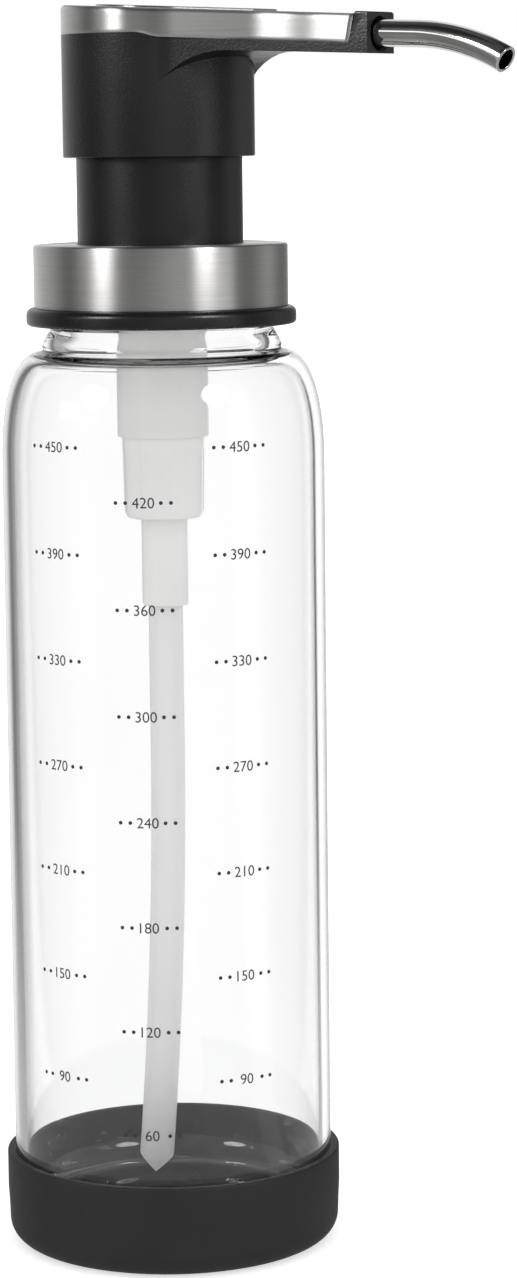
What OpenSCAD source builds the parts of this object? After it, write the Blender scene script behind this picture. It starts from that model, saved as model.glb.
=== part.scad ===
// Syrup dispenser: a glass bottle in a soft boot, with a press pump, a swivelling head and a bent spout.
// Millimetres, +Z up. The origin is the middle of the boot's flat underside, and the spout points along +X.

/* [Bottle] */
// Outside diameter of the straight glass wall
glass_od = 65; // [58:0.5:76]
// Thickness of the glass wall
glass_wall = 2.3; // [1.6:0.1:3]
// Thickness of the glass floor
glass_floor = 5.3; // [3:0.1:8]
// Height of the straight wall, from the foot to where the shoulder starts
glass_body_h = 157.8; // [110:0.2:200]
// Height of the shoulder, from the straight wall to the neck
shoulder_h = 22.6; // [14:0.2:30]
// Squareness of the shoulder curve, where 2 is an ellipse
shoulder_square = 2.3; // [2:0.1:3]
// Radius of the round at the foot of the glass
foot_round = 5; // [3:0.5:7]
// Outside diameter of the neck
neck_od = 44.6; // [40:0.2:48]
// Height of the neck above the shoulder
neck_h = 14.4; // [12.6:0.2:18]
// Radius of the fillet where the neck meets the shoulder
neck_fillet = 1.8; // [0.8:0.1:2.4]
// How far the thread beads stand out from the neck
thread_rise = 1; // [0.5:0.1:1.2]
// Number of thread beads round the neck
thread_beads = 2; // [1:1:2]

/* [Boot] */
// Height of the soft boot round the foot of the bottle
boot_h = 18.7; // [12:0.1:30]
// Thickness of the boot's wall
boot_wall = 1.65; // [1.2:0.05:2.5]
// Thickness of the boot's floor
boot_floor = 2.2; // [1.5:0.1:4]
// Radius of the round at the boot's bottom edge
boot_round = 4.6; // [3:0.1:5.5]
// How much the wall draws in towards the bottom, on the radius
boot_draft = 0.3; // [0:0.05:0.6]

/* [Closure] */
// Outside diameter of the steel collar
collar_od = 51; // [50:0.2:56]
// Height of the steel collar
collar_h = 12.5; // [11:0.1:16]
// Thickness of the collar's sheet steel
collar_sheet = 0.5; // [0.4:0.1:0.8]
// How far the black rim stands out from the collar
rim_out = 1.6; // [0.8:0.1:3]
// Height of the black rim under the collar
rim_h = 3.6; // [2.5:0.1:5]
// Thickness of the closure's top plate
closure_top = 1.8; // [1.2:0.1:2.4]
// Thickness of the seal on the bottle's mouth
gasket_h = 1.5; // [1:0.1:2]

/* [Pump] */
// Outside diameter of the white sleeve under the closure
sleeve_od = 18.4; // [18:0.1:20]
// Length of the sleeve below its flange
sleeve_len = 33.3; // [25:0.1:40]
// Thickness of the flanges clamped on the mouth
flange_h = 1.5; // [1:0.1:2]
// Outside diameter of the pump cylinder
cylinder_od = 16.6; // [16.2:0.1:17]
// Thickness of the cylinder's wall
cylinder_wall = 1.4; // [1:0.1:1.6]
// How far the cylinder reaches below the sleeve
cylinder_reach = 16.4; // [14:0.1:22]
// How much the cylinder draws in towards its bottom, on the radius
cylinder_draft = 0.3; // [0:0.05:0.5]
// Number of ribs round the cylinder
rib_count = 6; // [4:1:16]
// Direction of the first rib, turned from +X
rib_turn = 38; // [0:1:89]
// Outside diameter of the socket that holds the dip tube
socket_od = 9.4; // [8.6:0.1:11]
// Length of the dip tube's socket
socket_len = 17.7; // [12:0.1:24]
// Outside diameter of the dip tube
tube_od = 7; // [6:0.1:7.4]
// Thickness of the dip tube's wall
tube_wall = 1; // [0.8:0.1:1.3]
// Gap between the dip tube's tip and the glass floor
tip_gap = 6.4; // [2:0.2:14]
// How far the tip of the dip tube bows off the axis
tube_bow = 3.7; // [1:0.1:6]
// Length of the bowed part of the dip tube
bow_len = 88; // [50:1:100]
// Direction in which the dip tube bows, turned from +X
bow_turn = 218; // [0:1:359]
// Depth of the notched cut at the dip tube's tip
tip_cut = 3; // [1:0.1:4]
// Direction in which the notch's two slopes fall, turned from +X
notch_turn = 38; // [0:1:359]
// Diameter of the ball over the inlet
inlet_ball_d = 7; // [6:0.1:8]
// How far the inlet ball lifts
inlet_lift = 2; // [1:0.1:2.5]
// Travel of the head
stroke = 16; // [8:0.5:16.4]
// Outside diameter of the piston rod
rod_od = 8; // [7.6:0.1:8.6]
// Bore of the piston rod
rod_bore = 4.4; // [3.6:0.1:4.6]
// Height of the piston
piston_h = 8; // [6:0.2:9]
// Diameter of the ball over the outlet
outlet_ball_d = 5; // [4.8:0.1:5.2]
// How far the outlet ball lifts
outlet_lift = 1.4; // [0.8:0.1:2]
// Diameter of the spring's wire
spring_wire = 1.1; // [0.8:0.1:1.2]
// Mean diameter of the spring's coils
spring_d = 10.4; // [9.6:0.1:11]
// Number of turns in the spring
spring_turns = 7; // [4:1:8]

/* [Head] */
// Outside diameter of the fixed stem that the head slides over
stem_od = 33.2; // [31:0.1:34]
// Thickness of the stem's wall
stem_wall = 1.8; // [1.4:0.1:2.4]
// Gap between the head's skirt and the stem
skirt_gap = 0.5; // [0.4:0.05:0.8]
// Thickness of the skirt's wall
skirt_wall = 2.05; // [1.9:0.05:3]
// Height of the head at the axis, from the skirt's edge to the top of the cover
head_h = 29.3; // [28.4:0.1:34]
// Height of the shelf that the cover sits on, above the skirt's edge
shelf_h = 24.15; // [23.2:0.05:25]
// Reach of the arm, from the axis to its end face
arm_len = 53.8; // [44:0.2:66]
// Width of the arm at its end
arm_end_w = 9; // [8:0.1:12]
// How far the arm's sides lie inside the skirt's edge where they cross the axis
arm_inset = 1.83; // [1:0.05:4]
// Radius of the fillet, seen from above, where the arm leaves the head
arm_fillet = 10; // [4:0.5:16]
// Slope of the arm's underside, in rise per length
arm_slope = 0.04; // [0:0.005:0.06]
// Slope of the cover's top, in rise per length
top_slope = 0.05; // [0.02:0.005:0.06]
// Height of the steel side along the arm
band_h = 5.55; // [5:0.05:6]
// Thickness of the arm's floor
arm_floor = 1.15; // [1:0.05:1.6]
// Room over the spout inside the head, at the axis
spout_room = 0.9; // [0.8:0.05:1.5]
// Reach at which the web under the arm meets it
web_reach = 25.5; // [22:0.5:30]
// Radius of the web that joins the arm to the skirt
web_r = 17.5; // [12:0.5:18]
// Thickness of the end block that holds the spout
block_t = 2.7; // [2:0.1:5]
// How far the end block stands above the cover
block_proud = 0.45; // [0:0.05:0.8]
// Thickness of the cover's sheet steel
cover_sheet = 0.6; // [0.4:0.1:0.8]
// Height of the raised pad on the cover
pad_h = 0.4; // [0.2:0.1:0.8]
// Diameter of the raised pad
pad_d = 24.4; // [16:0.2:28]
// Reach of the raised pad along the arm
pad_len = 30.2; // [20:0.2:40]

/* [Spout] */
// Outside diameter of the spout tube
spout_od = 5.2; // [4.2:0.1:5.6]
// Thickness of the spout tube's wall
spout_wall = 0.6; // [0.4:0.1:0.8]
// Straight length of the spout beyond the end block
spout_straight = 8.7; // [4:0.1:20]
// Bend radius of the spout's centreline
spout_bend_r = 46; // [20:1:80]
// Angle through which the spout bends down
spout_bend = 25.6; // [10:0.2:60]

/* [Hidden] */
$fn = 96;

// Clearances
slip = 0.05;          // between pieces that are pushed or screwed together
run_gap = 0.3;        // between pieces that move past each other without bearing
run_fit = 0.04;       // on the radius, where one piece guides another
ball_gap = 0.02;      // between a ball and its seat or stop
cut = 1;              // overrun of a cutter past the face it cuts
skirt_stop_gap = 1.2; // left between the skirt and the collar at full press
stem_stop_gap = 0.6;  // left between the stem and the head's ceiling at full press
weld = 0.01;          // step on the radius where a straight length joins a bend
lap = 0.4;            // length by which a straight length laps a bend

// Small details
flange_inset = 0.2;   // the flanges on the mouth are this much smaller than the neck
rim_round = 0.7;      // edges of the closure's rim
collar_edge = 0.5;    // top edge of the collar
bead_half = 1.2;      // half of a thread bead's height at the neck
bead_flat = 0.4;      // half of its height at the crest
bead_pitch = 4;       // height between two beads
bead_drop = 3;        // from the mouth to the first bead
cylinder_floor = 2;   // floor of the cylinder under the inlet ball
tube_stop = 2;        // solid length between the cylinder's floor and the dip tube
rib_rise = 0.2;       // how far the cylinder's ribs stand out
rib_w = 1.1;          // width of a rib
plain_band = 2;       // smooth length of the cylinder above its ribs
cylinder_round = 1.2; // bottom edge of the cylinder
bush_plug = 6;        // how far the bush reaches into the cylinder
bush_rim = 2;         // how far its rim stands out past the cylinder
bush_rim_h = 1.6;     // height of that rim
wiper_t = 1.6;        // thickness of the wiper, across its section
wiper_h = 1.3;        // height of the wiper
cage_lid = 1.4;       // top of the ball's cage
cage_lip = 1;         // how far the cage's top reaches over the ball
clip_h = 1.6;         // height of the clip under the piston
piston_lip = 1.2;     // height of the piston's sealing lips
piston_waist = 0.6;   // how far the piston draws in between its lips
elbow_wall = 2.45;    // wall of the elbow round the rod
elbow_rim = 2;        // how far the elbow's rim stands out
elbow_rim_h = 1.5;    // height of that rim
elbow_socket = 7.8;   // depth of the elbow below the head's ceiling
rod_rise = 1.2;       // how far the rod reaches above that ceiling
ball_stop = 0.4;      // how far the elbow's edge reaches over the outlet ball
spout_start = 2.6;    // where the spout begins, from the axis
oring_d = 0.4;        // thickness of the seal round the spout
oring_start = 1;      // from the spout's end to the groove for that seal
oring_slot = 1.3;     // length of the groove
oring_room = 0.05;    // depth of the groove beyond the seal
ceiling_drop = 0.55;  // the head's ceiling lies this much under the arm
spout_floor_gap = 0.1; // between the spout and the arm's floor
elbow_top_gap = 0.1;  // between the elbow and the cover
core_gap = 0.1;       // between the cover and the body's walls inside it
core_wall = 1.5;      // thickness of those walls
core_root = 2;        // how far they reach down into the body
block_lift = 0.3;     // the end block starts this much above the arm's underside
block_wall = 0.6;     // wall between the arm's hollow and the end block
end_lean = 1;         // how far the cover's end leans out towards the top
end_gap = 0.1;        // between the cover's end and the end block
step_from = 7.7;      // where the S-curve in the cover's lower edge starts
step_len = 4.8;       // and its length
pad_half_w = 3.5;     // half of the pad's width at its end
pad_inset = 1.2;      // how far the pad's sides lie inside its disc where they cross the axis

// Radii
glass_r = glass_od / 2;
glass_in_r = glass_r - glass_wall;
boot_r = glass_r + slip + boot_wall;
neck_r = neck_od / 2;
mouth_r = neck_r - glass_wall;
collar_r = collar_od / 2;
closure_r = collar_r - collar_sheet;
closure_bore_r = neck_r + thread_rise + run_gap;
flange_r = neck_r - flange_inset;
stem_r = stem_od / 2;
stem_in_r = stem_r - stem_wall;
skirt_in_r = stem_r + skirt_gap;
skirt_r = skirt_in_r + skirt_wall;
sleeve_r = sleeve_od / 2;
cylinder_r = cylinder_od / 2;
cylinder_in_r = cylinder_r - cylinder_wall;
tube_r = tube_od / 2;
tube_in_r = tube_r - tube_wall;
inlet_r = inlet_ball_d / 2;
outlet_r = outlet_ball_d / 2;
rod_r = rod_od / 2;
rod_in_r = rod_bore / 2;
elbow_r = rod_r + slip + elbow_wall;
spout_r = spout_od / 2;
spout_in_r = spout_r - spout_wall;

// Levels, from the foot up
glass_z = boot_floor;
inner_floor_z = glass_z + glass_floor;
shoulder_z = glass_z + glass_body_h;
neck_z = shoulder_z + shoulder_h;
mouth_z = neck_z + neck_h;
sleeve_z = mouth_z + gasket_h;
stack_z = sleeve_z + flange_h;
plate_z = stack_z + flange_h;
closure_z = plate_z + closure_top;
collar_z = closure_z + collar_sheet;
rim_z = collar_z - collar_h;
skirt_z = collar_z + stroke + skirt_stop_gap;
top_z = skirt_z + head_h;
shelf_z = skirt_z + shelf_h;

// Levels of the pump, from the flanges down
sleeve_low_z = sleeve_z - sleeve_len;
cylinder_low_z = sleeve_low_z - cylinder_reach;
socket_low_z = cylinder_low_z - socket_len;
seat_z = cylinder_low_z + cylinder_floor;
tube_top_z = cylinder_low_z - tube_stop;
bush_low_z = plate_z - bush_plug;
piston_top_z = bush_low_z - run_gap;
piston_z = piston_top_z - piston_h;
clip_z = piston_z - clip_h;
tip_z = inner_floor_z + tip_gap;

// Levels and lengths of the head
arm_depth = arm_floor + spout_floor_gap + spout_od + spout_room + cover_sheet;
ceiling_z = top_z - arm_depth - ceiling_drop;
stem_top_z = ceiling_z - stroke - stem_stop_gap;
elbow_low_z = ceiling_z - elbow_socket;
rod_top_z = ceiling_z + rod_rise;
spout_z0 = top_z - arm_depth + arm_floor + spout_r + spout_floor_gap;
block_x = arm_len - block_t;
back_x = -2 * skirt_r;
band_xs = concat([back_x], [for (i = [0 : 8]) step_from + step_len * i / 8]);

function top_at(x) = top_z - top_slope * x;
function under_at(x) = top_z - arm_depth - arm_slope * x;

// Height of the cover's lower edge: a flat shelf at the back, an S-curve, then parallel to the top
function blend(x) = let (u = min(max((x - step_from) / step_len, 0), 1)) u * u * (3 - 2 * u);
function band_low_at(x) = shelf_z * (1 - blend(x)) + (top_at(x) - band_h) * blend(x);

// How far above a round hole's rim the middle of a ball rests
function ball_rise(r, hole_r) = sqrt(r * r - hole_r * hole_r) + ball_gap;

// The two valves: the inlet ball lifts to its cage, the outlet ball to the underside of the elbow
inlet_z = seat_z + ball_rise(inlet_r, tube_in_r);
cage_in_z = inlet_z + inlet_r + inlet_lift + ball_gap;
cage_top_z = cage_in_z + cage_lid;
outlet_z = rod_top_z - outlet_lift - outlet_r - ball_gap;
outlet_seat_z = outlet_z - ball_rise(outlet_r, rod_in_r);

// A point on a superellipse quarter that starts level with z and ends over r
function bulge(r, z, a, b, n, t) = [r + a * pow(cos(t), 2 / n), z + b * pow(sin(t), 2 / n)];

// The shoulder as an outline, from the straight wall to the neck
function shoulder(r, a, b, steps = 14) =
    [for (i = [0 : steps]) bulge(r, shoulder_z, a, b, shoulder_square, 90 * i / steps)];

// The foot of a round vessel as an outline: a floor at z and a rounded corner
function vessel_foot(r, z, round_r, steps = 8) = [for (i = [0 : steps]) let (t = 90 * i / steps)
    [r - round_r + round_r * sin(t), z + round_r - round_r * cos(t)]];

module ring(r_out, r_in, z, h) {
    difference() {
        disc(r_out, z, h);
        disc(r_in, z - cut, h + 2 * cut);
    }
}

module disc(r, z, h) {
    translate([0, 0, z]) cylinder(r = r, h = h);
}

module base_boot() {
    straight_share = 0.6;
    outer = vessel_foot(boot_r - boot_draft, 0, boot_round);
    inner = vessel_foot(glass_r + slip, boot_floor, foot_round - 0.5);
    color([0.19, 0.19, 0.19]) rotate_extrude() difference() {
        polygon(concat([[0, 0]], outer, [[boot_r, boot_h * straight_share], [boot_r, boot_h], [0, boot_h]]));
        polygon(concat([[-cut, boot_floor]], inner, [[glass_r + slip, boot_h + cut], [-cut, boot_h + cut]]));
    }
}

// One plain round bead of the thread
module thread_bead(z) {
    root_r = neck_r - 0.5;
    crest_r = neck_r + thread_rise;
    translate([0, 0, z]) rotate_extrude() polygon([[root_r, -bead_half], [neck_r, -bead_half],
        [crest_r, -bead_flat], [crest_r, bead_flat], [neck_r, bead_half], [root_r, bead_half]]);
}

module bottle() {
    foot_r = neck_r + neck_fillet;
    outer = shoulder(foot_r, glass_r - foot_r, shoulder_h);
    inner = shoulder(mouth_r, glass_in_r - mouth_r, shoulder_h - glass_wall);
    fillet = [for (i = [1 : 6]) let (t = 90 * i / 6) [foot_r - neck_fillet * sin(t),
        neck_z + neck_fillet * (1 - cos(t))]];
    color([0.85, 0.9, 0.9, 0.35]) union() {
        rotate_extrude() difference() {
            polygon(concat([[0, glass_z]], vessel_foot(glass_r, glass_z, foot_round), outer, fillet,
                [[neck_r, mouth_z], [0, mouth_z]]));
            polygon(concat([[-cut, inner_floor_z]], vessel_foot(glass_in_r, inner_floor_z, foot_round + 1),
                inner, [[mouth_r, mouth_z + cut], [-cut, mouth_z + cut]]));
        }
        for (i = [0 : thread_beads - 1]) thread_bead(mouth_z - bead_drop - bead_pitch * i);
    }
}

module neck_gasket() {
    color([0.75, 0.75, 0.72]) ring(flange_r, mouth_r + run_gap, mouth_z, gasket_h);
}

module closure_ring() {
    rim_r = collar_r + rim_out;
    rim_low_z = rim_z - rim_h;
    hole_r = stem_r + run_gap;
    color([0.17, 0.17, 0.17]) rotate_extrude() polygon([[closure_bore_r, rim_low_z],
        [rim_r - rim_round, rim_low_z], [rim_r, rim_low_z + rim_round], [rim_r, rim_z - rim_round],
        [rim_r - rim_round, rim_z], [closure_r - slip, rim_z], [closure_r - slip, closure_z],
        [hole_r, closure_z], [hole_r, plate_z], [closure_bore_r, plate_z]]);
}

module collar_shell() {
    hole_r = stem_r + run_gap;
    mid = collar_edge * 0.3;
    color([0.72, 0.72, 0.7]) rotate_extrude() polygon([[closure_r, rim_z], [collar_r, rim_z],
        [collar_r, collar_z - collar_edge], [collar_r - mid, collar_z - mid],
        [collar_r - collar_edge, collar_z], [hole_r, collar_z], [hole_r, closure_z], [closure_r, closure_z]]);
}

module stem_guide() {
    color([0.13, 0.13, 0.13]) difference() {
        union() {
            disc(flange_r, stack_z, flange_h);
            disc(stem_r, stack_z, stem_top_z - stack_z);
        }
        disc(stem_in_r, stack_z - cut, stem_top_z - stack_z + 2 * cut);
    }
}

module chamber_sleeve() {
    color([0.86, 0.86, 0.86]) difference() {
        union() {
            disc(flange_r, sleeve_z, flange_h);
            disc(sleeve_r, sleeve_low_z, sleeve_len);
        }
        disc(cylinder_r + slip, sleeve_low_z - cut, sleeve_len + flange_h + 2 * cut);
    }
}

// The outside of the cylinder below the sleeve, drawn in by inset: it tapers to a rounded bottom
module cylinder_low(inset) {
    h = cylinder_reach - plain_band;
    low_r = cylinder_r - cylinder_draft - inset;
    translate([0, 0, cylinder_low_z]) rotate_extrude() polygon(concat([[0, 0]],
        vessel_foot(low_r, 0, cylinder_round), [[cylinder_r - inset, h], [0, h]]));
}

module pump_cylinder() {
    plain_z = sleeve_low_z - plain_band;
    color([0.88, 0.88, 0.88]) difference() {
        union() {
            disc(stem_in_r - run_gap, stack_z, flange_h);
            disc(cylinder_r, plain_z, stack_z - plain_z + flange_h / 2);
            cylinder_low(rib_rise);
            intersection() {
                cylinder_low(0);
                for (i = [0 : rib_count - 1]) rotate([0, 0, rib_turn + i * 360 / rib_count])
                    translate([0, -rib_w / 2, cylinder_low_z])
                        cube([cylinder_r + cut, rib_w, cylinder_reach]);
            }
            disc(socket_od / 2, socket_low_z, socket_len + cylinder_floor / 2);
        }
        disc(cylinder_in_r, seat_z, plate_z - seat_z + cut);
        disc(tube_in_r, tube_top_z - cut, seat_z - tube_top_z + 2 * cut);
        disc(tube_r + slip, socket_low_z - cut, tube_top_z - socket_low_z + cut);
    }
}

module guide_bush() {
    color([0.8, 0.8, 0.78]) difference() {
        union() {
            disc(cylinder_in_r - slip, bush_low_z, bush_plug + bush_rim_h / 2);
            disc(cylinder_r + bush_rim, plate_z, bush_rim_h);
        }
        disc(rod_r + run_fit, bush_low_z - cut, bush_plug + bush_rim_h + 2 * cut);
        disc(rod_r + wiper_t, plate_z, bush_rim_h + cut);
    }
}

module rod_wiper() {
    color([0.3, 0.3, 0.3]) ring(rod_r + wiper_t - slip, rod_r + run_fit, plate_z, wiper_h);
}

// The dip tube as a solid rod of radius r: straight from its socket, then one even bow to its tip.
// The straight length is a hair thicker and laps over the bow, so that the two make one solid
module dip_rod(r, bow_angle, extra) {
    bow_z = tip_z + bow_len;
    bow_r = bow_len / sin(bow_angle);
    disc(r + weld, bow_z - lap, tube_top_z - bow_z + lap + extra);
    translate([bow_r, 0, bow_z]) rotate([-90, 0, 0]) rotate([0, 0, 180 - bow_angle - extra])
        rotate_extrude(angle = bow_angle + extra) translate([bow_r, 0]) circle(r = r);
}

module dip_tube() {
    bow_angle = 2 * atan(tube_bow / bow_len);
    notch_angle = atan(tip_cut / tube_r);
    far = 4 * tube_r;
    color([0.93, 0.93, 0.93]) rotate([0, 0, bow_turn]) difference() {
        dip_rod(tube_r - weld, bow_angle, 0);
        dip_rod(tube_in_r, bow_angle, cut);
        for (s = [-1, 1]) translate([tube_bow, 0, tip_z]) rotate([0, -bow_angle, notch_turn - bow_turn])
            rotate([0, s * notch_angle, 0]) translate([s > 0 ? 0 : -far, -far / 2, -far])
                cube([far, far, far]);
    }
}

module inlet_ball() {
    color([0.6, 0.6, 0.6]) translate([0, 0, inlet_z]) sphere(r = inlet_r);
}

module ball_cage() {
    color([0.8, 0.8, 0.78]) difference() {
        disc(cylinder_in_r - slip, seat_z, cage_top_z - seat_z);
        disc(inlet_r + run_gap, seat_z - cut, cage_in_z - seat_z + cut);
        disc(inlet_r - cage_lip, cage_in_z - cut, cage_lid + 2 * cut);
    }
}

// One unbroken coil from the cage to the piston's clip
module return_spring() {
    sides = 6;
    per_turn = 16;
    wire_r = spring_wire / 2;
    coil_r = spring_d / 2;
    low = cage_top_z + wire_r + slip;
    high = clip_z - wire_r - slip;
    n = spring_turns * per_turn;
    lean = atan((high - low) / spring_turns / (2 * PI * coil_r));
    pts = [for (i = [0 : n]) let (a = 360 * i / per_turn, z = low + (high - low) * i / n)
        for (k = [0 : sides - 1]) let (b = 360 * k / sides, u = wire_r * cos(b), w = wire_r * sin(b))
            [(coil_r + u) * cos(a) + w * sin(lean) * sin(a), (coil_r + u) * sin(a) - w * sin(lean) * cos(a),
                z + w * cos(lean)]];
    around = [for (i = [0 : n - 1]) for (k = [0 : sides - 1])
        let (k2 = (k + 1) % sides, p = i * sides, q = p + sides) each [[p + k, q + k2, p + k2],
            [p + k, q + k, q + k2]]];
    ends = concat([for (k = [1 : sides - 2]) [0, k, k + 1]],
        [for (k = [1 : sides - 2]) [n * sides, n * sides + k + 1, n * sides + k]]);
    gaps = [for (i = [0 : n - per_turn - 1]) for (j = [per_turn - 2 : per_turn + 1])
        for (k = [0 : sides - 1]) for (m = [0 : sides - 1])
            norm(pts[i * sides + k] - pts[(i + j) * sides + m])];
    echo(least_gap_in_spring = min(gaps));
    color([0.7, 0.7, 0.7]) polyhedron(points = pts, faces = concat(around, ends));
}

module piston() {
    lip_r = cylinder_in_r - run_fit;
    waist_r = cylinder_in_r - piston_waist;
    color([0.9, 0.9, 0.88]) rotate_extrude() polygon([[rod_r + slip, piston_z], [lip_r, piston_z],
        [lip_r, piston_z + piston_lip], [waist_r, piston_z + 2 * piston_lip],
        [waist_r, piston_top_z - 2 * piston_lip], [lip_r, piston_top_z - piston_lip],
        [lip_r, piston_top_z], [rod_r + slip, piston_top_z]]);
}

module piston_clip() {
    color([0.75, 0.75, 0.75]) ring(cylinder_in_r - run_gap, rod_in_r + run_gap, clip_z, clip_h);
}

module piston_rod() {
    color([0.9, 0.9, 0.9]) difference() {
        disc(rod_r, piston_z, rod_top_z - piston_z);
        disc(rod_in_r, piston_z - cut, rod_top_z - piston_z + 2 * cut);
        disc(outlet_r + run_gap, outlet_seat_z, rod_top_z - outlet_seat_z + cut);
    }
}

module outlet_ball() {
    color([0.6, 0.6, 0.6]) translate([0, 0, outlet_z]) sphere(r = outlet_r);
}

// Places what follows on the spout's straight centreline, with X along it
module on_spout() {
    translate([0, 0, spout_z0]) rotate([0, atan(arm_slope), 0]) children();
}

// A round rod along X, from x over the given length
module bar(r, x, len) {
    translate([x, 0, 0]) rotate([0, 90, 0]) cylinder(r = r, h = len);
}

module duct_elbow() {
    elbow_top_z = top_at(elbow_r) - cover_sheet - elbow_top_gap;
    color([0.8, 0.8, 0.8]) difference() {
        union() {
            disc(elbow_r, elbow_low_z, elbow_top_z - elbow_low_z);
            disc(elbow_r + elbow_rim, ceiling_z - elbow_rim_h, elbow_rim_h);
        }
        disc(rod_r + slip, elbow_low_z - cut, rod_top_z - elbow_low_z + cut + ball_gap);
        disc(outlet_r - ball_stop, rod_top_z - cut, spout_z0 - rod_top_z + cut);
        on_spout() {
            bar(spout_r + slip, spout_start, elbow_r);
            bar(spout_in_r, 0, elbow_r);
            bar(spout_r + oring_d + oring_room, spout_start + oring_start, oring_slot);
        }
    }
}

module spout_oring() {
    oring_r = oring_d / 2;
    color([0.2, 0.2, 0.2]) on_spout() translate([spout_start + oring_start + oring_slot / 2, 0, 0])
        rotate([0, 90, 0]) rotate_extrude() translate([spout_r + oring_r, 0]) circle(r = oring_r, $fn = 24);
}

// The spout as a solid rod of radius r, from x to past its tip by extra degrees, made like the dip tube
module spout_rod(r, x, extra) {
    bend_x = arm_len + spout_straight;
    bar(r + weld, x, bend_x + lap - x);
    translate([bend_x, 0, -spout_bend_r]) rotate([90, 0, 0]) rotate([0, 0, 90 - spout_bend - extra])
        rotate_extrude(angle = spout_bend + extra) translate([spout_bend_r, 0]) circle(r = r);
}

module spout_tube() {
    color([0.75, 0.75, 0.74]) on_spout() difference() {
        spout_rod(spout_r - weld, spout_start, 0);
        spout_rod(spout_in_r, spout_start - cut, cut);
    }
}

// Plan of a disc of radius r with an arm, drawn in by inset. The arm's sides are straight from half width
// root, at the axis, to half width tip at x_end, and leave the disc by a fillet of radius f
module arm_plan(r, root, tip, x_end, f, inset) {
    taper = atan((root - tip) / x_end);
    side = root * cos(taper);
    along = sqrt(pow(r + f, 2) - pow(side + f, 2));
    sweep = acos((side + f) / (r + f));
    centre = [along * cos(taper) + (side + f) * sin(taper), (side + f) * cos(taper) - along * sin(taper)];
    half = concat([for (i = [0 : 8]) let (t = 270 - taper - sweep * (1 - i / 8))
        centre + (f + inset + weld) * [cos(t), sin(t)]], [[x_end, tip - inset / cos(taper)]]);
    circle(r = r - inset);
    polygon(concat([[0, 0]], half));
    mirror([0, 1]) polygon(concat([[0, 0]], half));
    polygon([[0, 0], half[9], [x_end, inset / cos(taper) - tip]]);
}

// Plan of the whole head, drawn in by inset
module plan(inset) {
    arm_plan(skirt_r, skirt_r - arm_inset, arm_end_w / 2, arm_len, arm_fillet, inset);
}

module prism() {
    translate([0, 0, skirt_z]) linear_extrude(head_h + 4 * cut) children();
}

// A side view outline as a slab wider than the head
module side_slab(outline) {
    half_w = skirt_r + cut;
    translate([0, half_w, 0]) rotate([90, 0, 0]) linear_extrude(2 * half_w) polygon(outline);
}

// The skirt, and the arm with the web under it
module skirt_and_arm() {
    slope = atan(arm_slope);
    web_x = web_reach - web_r * sin(slope);
    web_z = under_at(web_reach) - web_r * cos(slope);
    web = [for (i = [0 : 12]) let (t = 180 - (90 + slope) * i / 12)
        [web_x + web_r * cos(t), web_z + web_r * sin(t)]];
    past_x = arm_len + cut;
    disc(skirt_r, skirt_z, head_h);
    intersection() {
        prism() plan(0);
        side_slab(concat([[0, web_z]], web, [[past_x, under_at(past_x)], [past_x, top_z], [0, top_z]]));
    }
}

module head_body() {
    wall_inset = cover_sheet + core_gap;
    past_x = arm_len + cut;
    hollow_x = block_x - end_lean - block_wall;
    color([0.15, 0.15, 0.15]) difference() {
        union() {
            intersection() {
                skirt_and_arm();
                side_slab(concat([[back_x, skirt_z - cut]], [for (x = band_xs) [x, band_low_at(x)]],
                    [[past_x, band_low_at(past_x)], [past_x, skirt_z - cut]]));
            }
            intersection() {
                prism() plan(wall_inset);
                side_slab([[back_x, shelf_z - core_root], [step_from, under_at(0)],
                    [block_x, under_at(block_x) + block_lift], [block_x, top_at(block_x) - cover_sheet],
                    [back_x, top_at(back_x) - cover_sheet]]);
            }
            intersection() {
                prism() plan(0);
                side_slab([[block_x - end_lean, under_at(block_x) + block_lift],
                    [arm_len, under_at(arm_len) + block_lift], [arm_len, top_at(arm_len) + block_proud],
                    [block_x, top_at(block_x) + block_proud], [block_x, top_at(block_x)]]);
            }
        }
        disc(skirt_in_r, skirt_z - cut, ceiling_z - skirt_z + cut);
        intersection() {
            prism() plan(wall_inset + core_wall);
            side_slab([[back_x, under_at(back_x) + arm_floor], [hollow_x, under_at(hollow_x) + arm_floor],
                [hollow_x, top_z + cut], [back_x, top_at(back_x) + cut]]);
        }
        disc(elbow_r + slip, ceiling_z - cut, head_h);
        on_spout() bar(spout_r + slip, elbow_r, arm_len);
    }
}

module head_cover() {
    past_x = arm_len + cut;
    end_x = block_x - end_gap;
    end_low_x = end_x - end_lean;
    color([0.75, 0.75, 0.74]) difference() {
        union() {
            intersection() {
                prism() plan(0);
                side_slab(concat([for (x = band_xs) [x, band_low_at(x)]],
                    [[end_low_x, band_low_at(end_low_x)], [end_x, top_at(end_x)], [back_x, top_at(back_x)]]));
            }
            intersection() {
                prism() arm_plan(pad_d / 2, pad_d / 2 - pad_inset, pad_half_w, pad_len, arm_fillet, 0);
                side_slab([[back_x, top_at(back_x) - cover_sheet / 2],
                    [arm_len, top_at(arm_len) - cover_sheet / 2], [arm_len, top_at(arm_len) + pad_h],
                    [back_x, top_at(back_x) + pad_h]]);
            }
        }
        intersection() {
            prism() plan(cover_sheet);
            side_slab([[back_x, skirt_z], [past_x, skirt_z], [past_x, top_at(past_x) - cover_sheet],
                [back_x, top_at(back_x) - cover_sheet]]);
        }
    }
}

base_boot();
bottle();
neck_gasket();
closure_ring();
collar_shell();
stem_guide();
chamber_sleeve();
pump_cylinder();
guide_bush();
rod_wiper();
dip_tube();
inlet_ball();
ball_cage();
return_spring();
piston();
piston_clip();
piston_rod();
outlet_ball();
duct_elbow();
spout_oring();
spout_tube();
head_body();
head_cover();
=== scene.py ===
import math

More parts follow.
